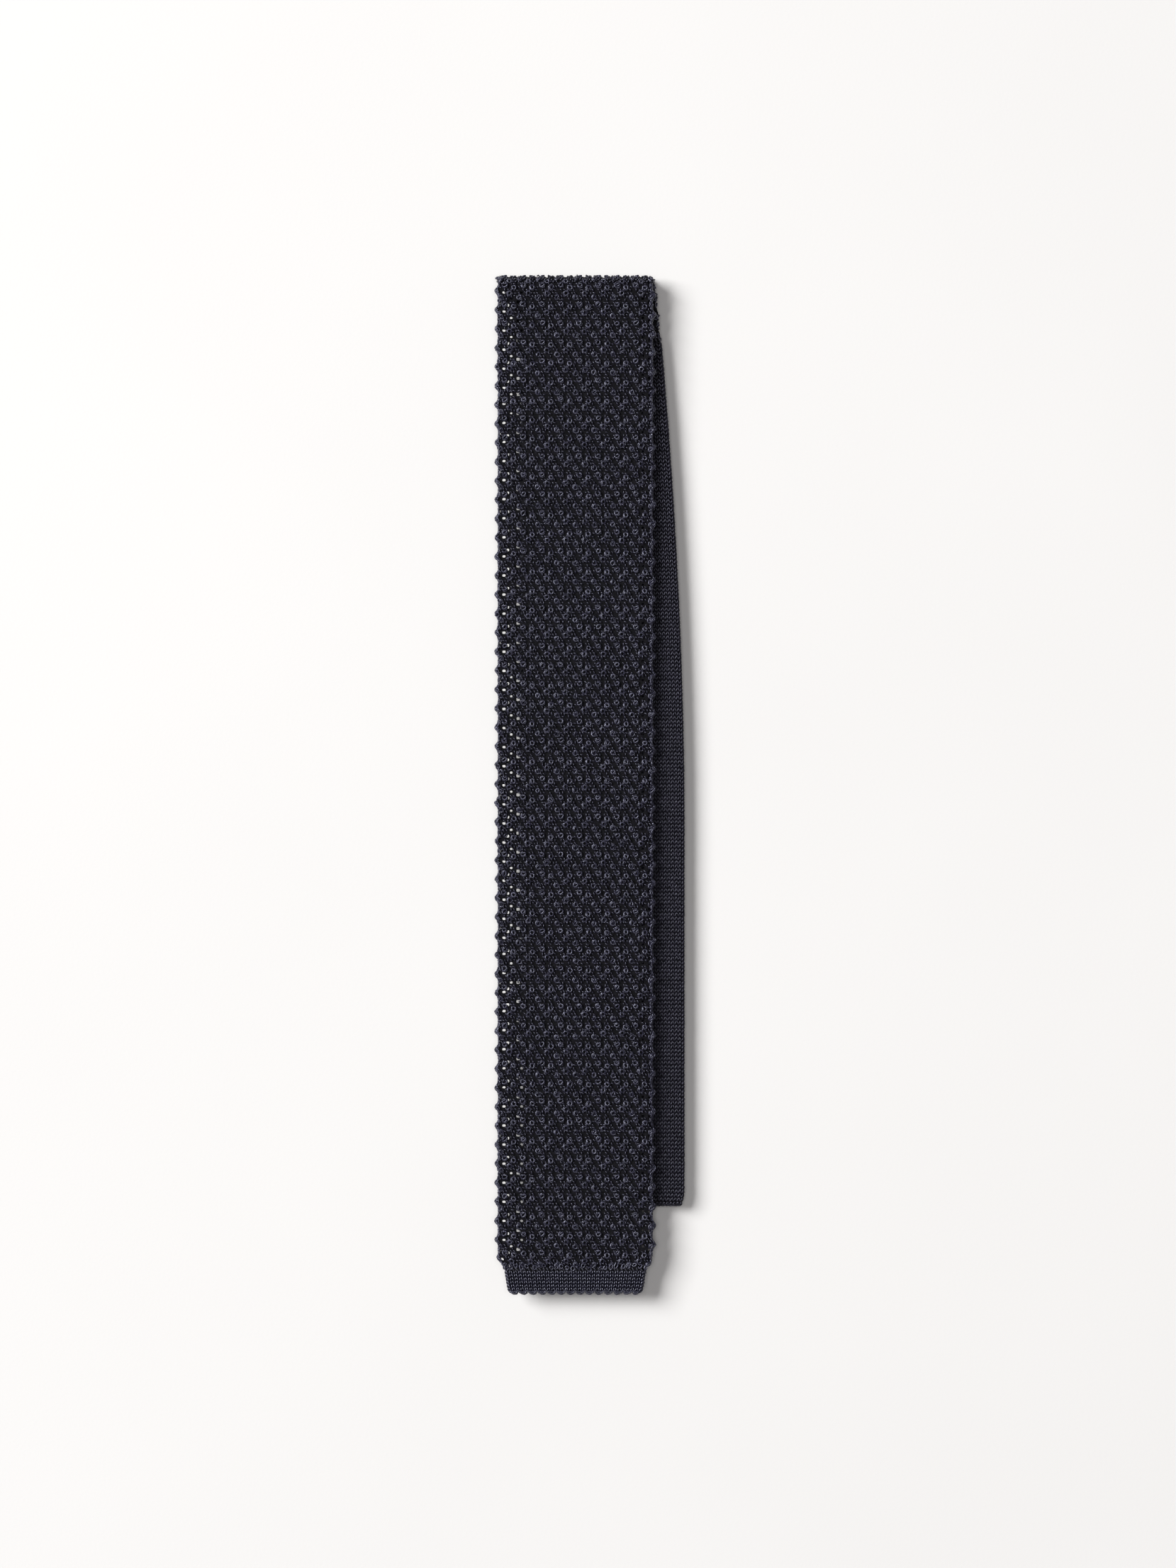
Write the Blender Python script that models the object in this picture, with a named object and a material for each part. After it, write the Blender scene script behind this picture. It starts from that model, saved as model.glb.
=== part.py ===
"""Square-ended silk knit necktie, folded in four and lying on its tail.

From the table up: tail, lower neck run, upper neck run, front blade. The three folds are half-round
turns of knit, and each run above a fold hangs from an empty that sits on that fold's axis.
X runs across the tie, +Y points from the blade's tip to its top fold, +Z is up.
"""

import math

import bmesh
import bpy
from mathutils import Vector

MM = 0.001

# Plan of the folded tie, measured from the blade's centre line and from the top fold's outer edge.
BLADE_WIDTH = 60.0 * MM
FOLDED_LENGTH = 394.3 * MM
NECK_WIDTH = 38.0 * MM
NECK_RIGHT_EDGE = 42.0 * MM
NECK_SWEEP = 11.2 * MM
NECK_SWEEP_LENGTH = 210.0 * MM
NECK_SWEEP_POWER = 1.8
NECK_FOLD_EDGE = 360.6 * MM
LOWER_NECK_SHIFT = 12.0 * MM
LOWER_NECK_INSET = 0.5 * MM
TAIL_WIDTH = 50.0 * MM
TAIL_RIGHT_EDGE = 29.5 * MM
TAIL_TIP = 318.5 * MM

# Height of each layer's two faces above the table.
TAIL_BOTTOM = 0.0
TAIL_TOP = 2.4 * MM
TAIL_NECK_TOP = 1.7 * MM
LOWER_NECK_BOTTOM = 2.7 * MM
LOWER_NECK_TOP = 4.4 * MM
UPPER_NECK_BOTTOM = 4.7 * MM
UPPER_NECK_TOP = 6.4 * MM
BLADE_BOTTOM = 7.5 * MM
BLADE_TOP = 10.3 * MM

# Lengths of the pieces along the tie.
KNIT_PAST_FOLD = 21.0 * MM
SEAM_LENGTH = 1.8 * MM
TAIL_NECK_LENGTH = 30.0 * MM
HEM_SEAM_LENGTH = 1.2 * MM
BLADE_HEM_START = 383.9 * MM
BLADE_HEM_WIDE = 54.5 * MM
BLADE_HEM_NARROW = 51.0 * MM
BLADE_SCALLOPS = 14
TAIL_HEM_LENGTH = 9.0 * MM
TAIL_HEM_WIDE = 45.5 * MM
TAIL_HEM_NARROW = 43.0 * MM
TAIL_SCALLOPS = 12
SCALLOP_DEPTH = 1.1 * MM
CAST_OFF_LENGTH = 1.0 * MM
KEEPER_HALF_SPAN = 21.0 * MM
KEEPER_WIDTH = 9.0 * MM
KEEPER_THICKNESS = 0.5 * MM
KEEPER_FROM_TOP = 214.0 * MM
LABEL_LEFT_INSET = 1.5 * MM
LABEL_WIDTH = 11.0 * MM
LABEL_LENGTH = 22.0 * MM
LABEL_THICKNESS = 0.3 * MM
LABEL_FROM_TOP = 118.0 * MM
TACK_THICKNESS = 0.4 * MM
TACK_WIDTH = 0.7 * MM

# Clearance between pieces that touch, and the roundness of the knit's rims.
GAP = 0.3 * MM
TUBE_RIM = 0.9 * MM
BAND_RIM = 0.6 * MM
TRIM_RIM = 0.12 * MM
TURN_RIM = 0.8 * MM
RIM_SEGMENTS = 2
TURN_STEPS = 10
ARC_STEPS = 4

# The frame's origin is under the middle of the folded tie.
CENTRE_X = (NECK_RIGHT_EDGE - BLADE_WIDTH / 2) / 2
CENTRE_Y = FOLDED_LENGTH / 2

# Each fold's axis lies midway between the outer faces of the two layers that it joins.
TAIL_FOLD_RADIUS = (LOWER_NECK_TOP - TAIL_BOTTOM) / 2
NECK_FOLD_RADIUS = (UPPER_NECK_TOP - LOWER_NECK_BOTTOM) / 2
BLADE_FOLD_RADIUS = (BLADE_TOP - UPPER_NECK_BOTTOM) / 2
TOP_FOLD_LINE = BLADE_FOLD_RADIUS
NECK_FOLD_LINE = NECK_FOLD_EDGE - NECK_FOLD_RADIUS

SILK_BLADE = ("silk_blade_knit", (0.020, 0.019, 0.027), 0.55)
SILK_NECK = ("silk_neck_knit", (0.016, 0.015, 0.022), 0.60)
SILK_HEM = ("silk_hem_knit", (0.027, 0.026, 0.036), 0.55)
SEAM_YARN = ("seam_yarn", (0.014, 0.013, 0.019), 0.60)
SATIN_TAPE = ("satin_tape", (0.010, 0.010, 0.016), 0.40)
LABEL_SATIN = ("label_satin", (0.62, 0.61, 0.58), 0.45)


def clear_scene():
    for old in list(bpy.data.objects):
        bpy.data.objects.remove(old, do_unlink=True)


def finish_material(name, colour, roughness):
    found = bpy.data.materials.get(name)
    if found:
        return found
    made = bpy.data.materials.new(name)
    made.use_nodes = True
    shader = made.node_tree.nodes["Principled BSDF"]
    shader.inputs["Base Color"].default_value = (*colour, 1.0)
    shader.inputs["Roughness"].default_value = roughness
    shader.inputs["Metallic"].default_value = 0.0
    return made


def point(across, down):
    """Plan point from the distance right of the blade's centre line and down from the top edge."""
    return (across - CENTRE_X, CENTRE_Y - down)


def fold_axis(name, down, height, parent):
    """Empty on a fold's axis, which carries everything above that fold."""
    empty = bpy.data.objects.new(name, None)
    bpy.context.scene.collection.objects.link(empty)
    world = Vector((0.0, CENTRE_Y - down, height))
    empty.location = world
    if parent:
        empty.parent = parent
        empty.location = world - world_place(parent)
    return empty


def world_place(empty):
    place = Vector((0.0, 0.0, 0.0))
    while empty:
        place += empty.location
        empty = empty.parent
    return place


def add_piece(name, bm, finish, carrier):
    """Turns a bmesh in world space into a named object whose origin is its carrier's."""
    bmesh.ops.recalc_face_normals(bm, faces=bm.faces)
    origin = world_place(carrier)
    bmesh.ops.translate(bm, verts=bm.verts, vec=-origin)
    mesh = bpy.data.meshes.new(name)
    bm.to_mesh(mesh)
    bm.free()
    mesh.materials.append(finish_material(*finish))
    mesh.shade_smooth()
    mesh.set_sharp_from_angle(angle=math.radians(40))
    piece = bpy.data.objects.new(name, mesh)
    bpy.context.scene.collection.objects.link(piece)
    if carrier:
        piece.parent = carrier
    return piece


def raise_outline(bm, outline, bottom, top, rim):
    """Extrudes a plan outline into a slab and rounds the rims of its two faces."""
    corners = [bm.verts.new((x, y, bottom)) for x, y in outline]
    base = bm.faces.new(corners)
    grown = bmesh.ops.extrude_face_region(bm, geom=[base])
    lifted = [v for v in grown["geom"] if isinstance(v, bmesh.types.BMVert)]
    bmesh.ops.translate(bm, verts=lifted, vec=(0.0, 0.0, top - bottom))
    own = set(corners) | set(lifted)
    level = [
        e for e in bm.edges
        if e.verts[0] in own and abs(e.verts[0].co.z - e.verts[1].co.z) < GAP / 10
    ]
    if rim:
        bmesh.ops.bevel(
            bm, geom=level, offset=rim, segments=RIM_SEGMENTS, profile=0.5,
            affect="EDGES", clamp_overlap=True, material=-1,
        )


def slab(name, outline, bottom, top, rim, finish, carrier):
    bm = bmesh.new()
    raise_outline(bm, outline, bottom, top, rim)
    return add_piece(name, bm, finish, carrier)


def strip_outline(start, end, edges, steps):
    """Outline between two distances from the top; edges gives the left and right edge at each."""
    downs = [start + (end - start) * i / steps for i in range(steps + 1)]
    left = [point(edges(d)[0], d) for d in downs]
    right = [point(edges(d)[1], d) for d in reversed(downs)]
    return left + right


def rectangle(left, right, start, end):
    return strip_outline(start, end, lambda down: (left, right), 1)


def taper(start, end, wide, narrow, middle):
    """Edge function for a band that narrows evenly about its middle."""
    def edges(down):
        share = (down - start) / (end - start)
        half = (wide + (narrow - wide) * share) / 2
        return (middle - half, middle + half)
    return edges


def upper_neck_edges(down):
    """The neck sweeps away from under the blade and narrows to its own width."""
    share = max(0.0, 1.0 - down / NECK_SWEEP_LENGTH) ** NECK_SWEEP_POWER
    right = NECK_RIGHT_EDGE - NECK_SWEEP * share
    width = NECK_WIDTH + (BLADE_WIDTH - NECK_WIDTH) * share
    return (right - width, right)


def lower_neck_edges(down):
    """The second run drifts back under the blade on its way up to the tail fold."""
    right = NECK_RIGHT_EDGE - LOWER_NECK_INSET - LOWER_NECK_SHIFT * (1 - down / NECK_FOLD_LINE)
    return (right - NECK_WIDTH + 2 * LOWER_NECK_INSET, right)


def tail_neck_edges(down):
    """The tail's end of the neck, which widens down to the tail's own width."""
    left, right = lower_neck_edges(TOP_FOLD_LINE)
    share = (down - TOP_FOLD_LINE) / TAIL_NECK_LENGTH
    wide_left = TAIL_RIGHT_EDGE - TAIL_WIDTH + 2 * TUBE_RIM
    return (left + (wide_left - left) * share, right + (TAIL_RIGHT_EDGE - right) * share)


def scalloped_outline(start, end, middle, width, count):
    """A straight upper edge, and a lower edge of round loops."""
    left = middle - width / 2
    pitch = width / count
    outline = [point(left + width, start), point(left, start)]
    for loop in range(count):
        for step in range(ARC_STEPS):
            turn = math.pi * step / ARC_STEPS
            across = left + pitch * (loop + 0.5 - 0.5 * math.cos(turn))
            outline.append(point(across, end - SCALLOP_DEPTH * (1 - math.sin(turn))))
    outline.append(point(left + width, end - SCALLOP_DEPTH))
    return outline


def half_turn(name, left, right, down, height, outer, side, finish, carrier):
    """Half-round turn of knit about a fold's axis; side is +1 at the top and -1 at the bottom."""
    bm = bmesh.new()
    inner = GAP / 2
    axis_y = CENTRE_Y - down
    lower = height + inner
    upper = height + outer
    corners = ((left, lower), (right, lower), (right, upper), (left, upper))
    start = bm.faces.new([bm.verts.new((x - CENTRE_X, axis_y, z)) for x, z in corners])
    bmesh.ops.spin(
        bm, geom=[start], cent=(0.0, axis_y, height), axis=(1.0, 0.0, 0.0),
        dvec=(0.0, 0.0, 0.0), angle=-side * math.pi, steps=TURN_STEPS,
        use_merge=False, use_duplicate=False,
    )
    bmesh.ops.remove_doubles(bm, verts=bm.verts, dist=GAP / 100)
    bmesh.ops.holes_fill(bm, edges=[e for e in bm.edges if e.is_boundary], sides=4)
    middle = (left + right) / 2 - CENTRE_X
    centre = Vector((middle, axis_y, height))
    reach = (right - left) / 2
    rims = []
    for edge in bm.edges:
        away = [v.co - centre for v in edge.verts]
        at_end = all(abs(abs(a.x) - reach) < GAP / 100 for a in away)
        outside = all(abs(math.hypot(a.y, a.z) - outer) < GAP / 10 for a in away)
        if at_end and outside:
            rims.append(edge)
    bmesh.ops.bevel(
        bm, geom=rims, offset=TURN_RIM, segments=RIM_SEGMENTS, profile=0.5,
        affect="EDGES", clamp_overlap=True, material=-1,
    )
    return add_piece(name, bm, finish, carrier)


def bar_tack(name, left, right, start, end, bottom, carrier):
    """A short bar of stitches worked over the end of a tape or label."""
    return slab(name, rectangle(left, right, start, end), bottom, bottom + TACK_THICKNESS,
                TRIM_RIM, SEAM_YARN, carrier)


def build_tail():
    """Root: the short blade, face down on the table, with its hem and its blank care label."""
    left = TAIL_RIGHT_EDGE - TAIL_WIDTH
    middle = TAIL_RIGHT_EDGE - TAIL_WIDTH / 2
    neck_end = TOP_FOLD_LINE + TAIL_NECK_LENGTH
    knit_start = neck_end + SEAM_LENGTH + GAP
    hem_end = TAIL_TIP - SCALLOP_DEPTH - CAST_OFF_LENGTH - GAP
    hem_start = hem_end - TAIL_HEM_LENGTH
    knit_end = hem_start - HEM_SEAM_LENGTH - 2 * GAP
    slab("tail_neck_end", strip_outline(TOP_FOLD_LINE + GAP, neck_end, tail_neck_edges, 6),
         TAIL_BOTTOM, TAIL_NECK_TOP, BAND_RIM, SILK_NECK, None)
    slab("tail_neck_seam",
         rectangle(left + 2 * TUBE_RIM, TAIL_RIGHT_EDGE - TUBE_RIM, neck_end + GAP, knit_start - GAP),
         TAIL_BOTTOM, TAIL_NECK_TOP + GAP, BAND_RIM, SEAM_YARN, None)
    slab("tail_blade", rectangle(left, TAIL_RIGHT_EDGE, knit_start, knit_end),
         TAIL_BOTTOM, TAIL_TOP, TUBE_RIM, SILK_BLADE, None)
    slab("tail_hem_seam",
         rectangle(middle - TAIL_HEM_WIDE / 2, middle + TAIL_HEM_WIDE / 2, knit_end + GAP, hem_start - GAP),
         TAIL_BOTTOM, TAIL_TOP - GAP, TRIM_RIM, SEAM_YARN, None)
    slab("tail_hem_band",
         strip_outline(hem_start, hem_end, taper(hem_start, hem_end, TAIL_HEM_WIDE, TAIL_HEM_NARROW, middle), 2),
         TAIL_BOTTOM, TAIL_NECK_TOP, BAND_RIM, SILK_HEM, None)
    slab("tail_cast_off",
         scalloped_outline(hem_end + GAP, TAIL_TIP, middle, TAIL_HEM_NARROW, TAIL_SCALLOPS),
         TAIL_BOTTOM, TAIL_NECK_TOP, TRIM_RIM, SEAM_YARN, None)
    label_left = left + LABEL_LEFT_INSET
    label_right = label_left + LABEL_WIDTH
    label_bottom = TAIL_TOP + GAP
    slab("care_label",
         rectangle(label_left, label_right, LABEL_FROM_TOP, LABEL_FROM_TOP + LABEL_LENGTH),
         label_bottom, label_bottom + LABEL_THICKNESS, 0.0, LABEL_SATIN, None)
    tack_end = LABEL_FROM_TOP - GAP
    tack_length = LABEL_WIDTH / 4
    for side, start in (("left", label_left), ("right", label_right - tack_length)):
        bar_tack("care_label_tack_" + side, start, start + tack_length,
                 tack_end - TACK_WIDTH, tack_end, label_bottom, None)


def build_lower_neck(carrier):
    """First neck run above the tail, with the turn that joins it to the tail."""
    left, right = lower_neck_edges(TOP_FOLD_LINE)
    half_turn("tail_fold_turn", left, right, TOP_FOLD_LINE, TAIL_FOLD_RADIUS,
              TAIL_FOLD_RADIUS, 1, SILK_NECK, carrier)
    slab("lower_neck_band",
         strip_outline(TOP_FOLD_LINE + GAP, NECK_FOLD_LINE - GAP, lower_neck_edges, 2),
         LOWER_NECK_BOTTOM, LOWER_NECK_TOP, BAND_RIM, SILK_NECK, carrier)


def build_upper_neck(carrier):
    """Second neck run, its turn at the bottom, and the blade knit that runs on past the top fold."""
    left, right = upper_neck_edges(NECK_FOLD_LINE)
    half_turn("neck_fold_turn", left, right, NECK_FOLD_LINE,
              (UPPER_NECK_TOP + LOWER_NECK_BOTTOM) / 2, NECK_FOLD_RADIUS, -1, SILK_NECK, carrier)
    knit_end = TOP_FOLD_LINE + KNIT_PAST_FOLD
    neck_start = knit_end + SEAM_LENGTH + 2 * GAP
    slab("upper_neck_band",
         strip_outline(neck_start, NECK_FOLD_LINE - GAP, upper_neck_edges, 18),
         UPPER_NECK_BOTTOM, UPPER_NECK_TOP, BAND_RIM, SILK_NECK, carrier)
    slab("blade_neck_seam",
         strip_outline(knit_end + GAP, neck_start - GAP, upper_neck_edges, 1),
         UPPER_NECK_BOTTOM, UPPER_NECK_TOP, BAND_RIM, SEAM_YARN, carrier)
    slab("blade_knit_end",
         strip_outline(TOP_FOLD_LINE + GAP, knit_end, upper_neck_edges, 3),
         UPPER_NECK_BOTTOM, UPPER_NECK_TOP, BAND_RIM, SILK_BLADE, carrier)


def build_blade(carrier):
    """Front blade on top, its turn, its hem and, on its back, the keeper loop."""
    half = BLADE_WIDTH / 2
    half_turn("blade_fold_turn", -half, half, TOP_FOLD_LINE, BLADE_TOP - BLADE_FOLD_RADIUS,
              BLADE_FOLD_RADIUS, 1, SILK_BLADE, carrier)
    hem_end = FOLDED_LENGTH - SCALLOP_DEPTH - CAST_OFF_LENGTH - GAP
    hem_start = BLADE_HEM_START + HEM_SEAM_LENGTH + GAP
    slab("front_blade", rectangle(-half, half, TOP_FOLD_LINE + GAP, BLADE_HEM_START - GAP),
         BLADE_BOTTOM, BLADE_TOP, TUBE_RIM, SILK_BLADE, carrier)
    hem_top = BLADE_TOP - 2 * GAP
    hem_bottom = BLADE_BOTTOM + GAP
    slab("blade_hem_seam",
         rectangle(-BLADE_HEM_WIDE / 2, BLADE_HEM_WIDE / 2, BLADE_HEM_START, hem_start - GAP),
         hem_bottom, hem_top + GAP, TRIM_RIM, SEAM_YARN, carrier)
    slab("blade_hem_band",
         strip_outline(hem_start, hem_end, taper(hem_start, hem_end, BLADE_HEM_WIDE, BLADE_HEM_NARROW, 0.0), 2),
         hem_bottom, hem_top, BAND_RIM, SILK_HEM, carrier)
    slab("blade_cast_off",
         scalloped_outline(hem_end + GAP, FOLDED_LENGTH, 0.0, BLADE_HEM_NARROW, BLADE_SCALLOPS),
         hem_bottom, hem_top, TRIM_RIM, SEAM_YARN, carrier)
    keeper_bottom = UPPER_NECK_TOP + GAP
    keeper_end = KEEPER_FROM_TOP + KEEPER_WIDTH
    slab("keeper_loop",
         rectangle(-KEEPER_HALF_SPAN, KEEPER_HALF_SPAN, KEEPER_FROM_TOP, keeper_end),
         keeper_bottom, keeper_bottom + KEEPER_THICKNESS, TRIM_RIM, SATIN_TAPE, carrier)
    near = KEEPER_HALF_SPAN + GAP
    far = near + TACK_WIDTH
    for side, start in (("left", -far), ("right", near)):
        bar_tack("keeper_tack_" + side, start, start + TACK_WIDTH,
                 KEEPER_FROM_TOP, keeper_end, keeper_bottom, carrier)


clear_scene()
build_tail()
tail_fold = fold_axis("tail_fold_axis", TOP_FOLD_LINE, TAIL_FOLD_RADIUS, None)
neck_fold = fold_axis(
    "neck_fold_axis", NECK_FOLD_LINE, (UPPER_NECK_TOP + LOWER_NECK_BOTTOM) / 2, tail_fold
)
blade_fold = fold_axis("blade_fold_axis", TOP_FOLD_LINE, BLADE_TOP - BLADE_FOLD_RADIUS, neck_fold)
build_lower_neck(tail_fold)
build_upper_neck(neck_fold)
build_blade(blade_fold)
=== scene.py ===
"""Looks of a square-ended silk knit necktie, folded in four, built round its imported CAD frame."""

import math

import bmesh
import bpy
import numpy as np
from mathutils import Matrix, Vector


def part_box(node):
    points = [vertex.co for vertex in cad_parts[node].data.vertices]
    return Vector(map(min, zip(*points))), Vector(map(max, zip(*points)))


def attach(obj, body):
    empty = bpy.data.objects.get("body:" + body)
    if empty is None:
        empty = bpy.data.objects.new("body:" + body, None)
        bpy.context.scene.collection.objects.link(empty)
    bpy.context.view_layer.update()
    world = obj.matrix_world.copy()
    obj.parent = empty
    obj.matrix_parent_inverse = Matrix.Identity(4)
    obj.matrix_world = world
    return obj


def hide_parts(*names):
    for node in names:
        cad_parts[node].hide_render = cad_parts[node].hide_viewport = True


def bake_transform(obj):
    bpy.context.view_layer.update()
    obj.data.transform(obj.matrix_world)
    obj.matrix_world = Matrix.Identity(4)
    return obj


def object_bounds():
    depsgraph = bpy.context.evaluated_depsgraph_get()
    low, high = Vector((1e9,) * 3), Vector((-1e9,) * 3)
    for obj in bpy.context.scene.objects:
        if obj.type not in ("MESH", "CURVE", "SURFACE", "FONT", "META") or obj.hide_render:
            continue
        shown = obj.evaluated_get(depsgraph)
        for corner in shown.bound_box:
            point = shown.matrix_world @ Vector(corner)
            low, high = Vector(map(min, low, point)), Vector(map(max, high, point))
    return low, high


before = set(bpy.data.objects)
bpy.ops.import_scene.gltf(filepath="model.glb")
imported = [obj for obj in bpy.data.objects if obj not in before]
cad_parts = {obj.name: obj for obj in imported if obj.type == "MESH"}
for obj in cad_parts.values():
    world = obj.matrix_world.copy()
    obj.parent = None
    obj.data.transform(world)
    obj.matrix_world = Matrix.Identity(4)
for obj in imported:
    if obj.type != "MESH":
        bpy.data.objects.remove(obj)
cad_box = [list(corner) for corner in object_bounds()]
scene = bpy.context.scene

# The table and the light. The tie lies on a pale, smooth table top, under one large soft window on
# its upper left and a weak soft ceiling light, and is looked at from straight above.

MM = 0.001
TABLE_SIZE = 24.0
TABLE_DROP = 0.05 * MM
TABLE_COLOUR = (0.93, 0.92, 0.905, 1.0)
TABLE_MOTTLE_COLOUR = (0.915, 0.905, 0.89, 1.0)
VIEW_HEIGHT = 0.6055
LENS = 120.0
SENSOR = 36.0
LOOK_OFFSET = (-1.1 * MM, 0.2 * MM)
WINDOW_DIRECTION = (-0.70, 0.30, 0.66)
WINDOW_DISTANCE = 8.0
WINDOW_SIZE = 4.2
WINDOW_POWER = 790.0
CEILING_HEIGHT = 3.4
CEILING_SIZE = 1.3
CEILING_POWER = 26.0
ROOM_LIGHT = (0.080, 0.073, 0.076, 1.0)


class Shade:
    """One output of a material's nodes. Sums and products of shades add Math nodes."""

    def __init__(self, tree, socket):
        self.tree = tree
        self.socket = socket

    def node(self, kind, settings, sockets, output=0):
        """Adds a node of that type: settings first, then its sockets' values or links."""
        made = self.tree.nodes.new(kind)
        for key, value in settings.items():
            if key == "stops":
                for stop, (position, colour) in zip(made.color_ramp.elements, value):
                    stop.position = position
                    stop.color = colour
            else:
                setattr(made, key, value)
        for key, value in sockets.items():
            if isinstance(value, Shade):
                self.tree.links.new(value.socket, made.inputs[key])
            else:
                made.inputs[key].default_value = value
        return Shade(self.tree, made.outputs[output])

    def maths(self, operation, first, second=0.0):
        return self.node("ShaderNodeMath", {"operation": operation}, {0: first, 1: second})

    def __add__(self, other):
        return self.maths("ADD", self, other)

    def __radd__(self, other):
        return self.maths("ADD", other, self)

    def __sub__(self, other):
        return self.maths("SUBTRACT", self, other)

    def __rsub__(self, other):
        return self.maths("SUBTRACT", other, self)

    def __mul__(self, other):
        return self.maths("MULTIPLY", self, other)

    def __rmul__(self, other):
        return self.maths("MULTIPLY", other, self)


def new_finish(name, constants):
    """A material with a Principled shader whose even-all-over values are set on its own sockets."""
    made = bpy.data.materials.new(name)
    made.use_nodes = True
    shader = made.node_tree.nodes["Principled BSDF"]
    for key, value in constants.items():
        shader.inputs[key].default_value = value
    start = Shade(made.node_tree, None)
    place = start.node("ShaderNodeTexCoord", {}, {}, output=3)
    return made, shader, place


def connect(shade, shader, socket):
    """Links a shade to one of the shader's own sockets."""
    shade.tree.links.new(shade.socket, shader.inputs[socket])


def grain(place, scale, detail=2.0, roughness=0.5):
    """Soft cloudy noise from 0 to 1, finer as the scale grows."""
    return place.node(
        "ShaderNodeTexNoise", {},
        {"Vector": place, "Scale": scale, "Detail": detail, "Roughness": roughness},
    )


def ramp(shade, low, low_colour, high, high_colour):
    """Colour that runs from one to the other as the shade goes from low to high."""
    return shade.node(
        "ShaderNodeValToRGB", {"stops": [(low, low_colour), (high, high_colour)]}, {0: shade}
    )


def bumped(height, shader, depth, strength=1.0):
    """Relief of that depth in metres where the height runs from 0 to 1."""
    bump = height.node(
        "ShaderNodeBump", {}, {"Height": height, "Distance": depth, "Strength": strength}
    )
    connect(bump, shader, "Normal")


def finished(name, bm, material, smooth=True):
    """Puts a bmesh into a new object at the origin."""
    mesh = bpy.data.meshes.new(name)
    bm.to_mesh(mesh)
    bm.free()
    if smooth:
        mesh.shade_smooth()
    mesh.materials.append(material)
    made = bpy.data.objects.new(name, mesh)
    scene.collection.objects.link(made)
    return made


table_finish, table_shader, table_place = new_finish(
    "table_top", {"Roughness": 0.75, "Specular IOR Level": 0.2}
)
table_mottle = grain(table_place, 6.0)
connect(
    ramp(table_mottle, 0.3, TABLE_MOTTLE_COLOUR, 0.7, TABLE_COLOUR),
    table_shader, "Base Color",
)
bumped(grain(table_place, 900.0), table_shader, 0.02 * MM)
table_mesh = bmesh.new()
bmesh.ops.create_grid(table_mesh, x_segments=1, y_segments=1, size=TABLE_SIZE / 2)
table = finished("table_top", table_mesh, table_finish, smooth=False)
table.location.z = -TABLE_DROP

low_corner, high_corner = (np.array(corner) for corner in cad_box)
middle = (low_corner + high_corner) / 2
camera = bpy.data.objects.new("camera", bpy.data.cameras.new("camera"))
scene.collection.objects.link(camera)
camera.data.lens = LENS
camera.data.sensor_width = SENSOR
camera.data.clip_end = 20.0
camera.location = (
    middle[0] + LOOK_OFFSET[0],
    middle[1] + LOOK_OFFSET[1],
    high_corner[2] + VIEW_HEIGHT * LENS / SENSOR,
)
scene.camera = camera
scene.view_settings.view_transform = "Standard"


def soft_light(name, position, size, power):
    """A square soft light, turned to face the tie."""
    lamp = bpy.data.objects.new(name, bpy.data.lights.new(name, "AREA"))
    lamp.data.shape = "SQUARE"
    lamp.data.size = size
    lamp.data.energy = power
    lamp.location = position
    lamp.rotation_mode = "QUATERNION"
    lamp.rotation_quaternion = (-Vector(position)).to_track_quat("-Z", "Y")
    scene.collection.objects.link(lamp)


soft_light(
    "window", Vector(WINDOW_DIRECTION).normalized() * WINDOW_DISTANCE, WINDOW_SIZE, WINDOW_POWER
)
soft_light("ceiling", (0.0, 0.0, CEILING_HEIGHT), CEILING_SIZE, CEILING_POWER)
world = bpy.data.worlds.new("room")
world.use_nodes = True
world.node_tree.nodes["Background"].inputs["Color"].default_value = ROOM_LIGHT
scene.world = world

# Silk yarn, and the open-work knit of the two blades: twisted silk knitted in the round, as a seamless
# tube that is then pressed flat. Raised round loops, four to a cell, stand on a mesh of lower
# stitches, and once in each cell's length the loops crowd into a knob on either edge.

YARN_RADIUS = 0.28 * MM
KNOT_RADIUS = 0.29 * MM
UNDER_RADIUS = 0.40 * MM
UNDER_TURN = np.linspace(0.0, 1.8 * math.pi, 7)
UNDER_HALF = 1.04
UNDER_DROP = 0.60 * MM
LOOP_END_DROP = 0.8 * MM
KNOT_HALF = 0.42
KNOT_DEPTH = 0.12
CELLS_ROUND = 17
CELL_LENGTH = 7.33 * MM
LOOP_SINK = 0.34 * MM
GROUND_SINK = 1.02 * MM
EDGE_BUMP = 1.30 * MM
EDGE_RECESS = 0.30 * MM
EDGE_REACH = 4.0 * MM
KNOB_SHIFT = 0.12
UNEVEN_ACROSS = 0.08 * MM
UNEVEN_DOWN = 0.10 * MM
FRONT_OVERLAP = 0.4 * MM
RIPPLE = 0.16 * MM
RIPPLE_PITCH = 5.6 * MM
RIPPLE_LENGTH = 0.8 * MM
WELD = 0.01 * MM
# Each raised loop: place across and down in cells, half sizes in mm, turn, sweep, opening, lift.
RAISED_LOOPS = (
    (0.00, 0.00, 0.70, 0.72, 0.00, 0.93, 1.4, 0.14),
    (0.52, 0.21, 0.48, 0.84, 0.25, 0.80, 1.6, 0.00),
    (0.74, 0.58, 0.55, 0.88, 0.85, 0.88, 2.2, 0.06),
    (0.22, 0.71, 0.66, 0.74, -0.10, 0.90, 4.6, 0.12),
)
# Each see-through gap: place across and down in cells, and how far its rim closes in, in mm.
GAPS = ((0.42, 0.40, 0.02), (0.98, 0.58, 0.12), (0.62, 0.90, 0.20), (0.02, 0.32, 0.24))
KNOTS_ACROSS = 6
KNOTS_DOWN = 6
KNOT_CLEARANCE = 0.115

rng = np.random.default_rng(11)


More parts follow.
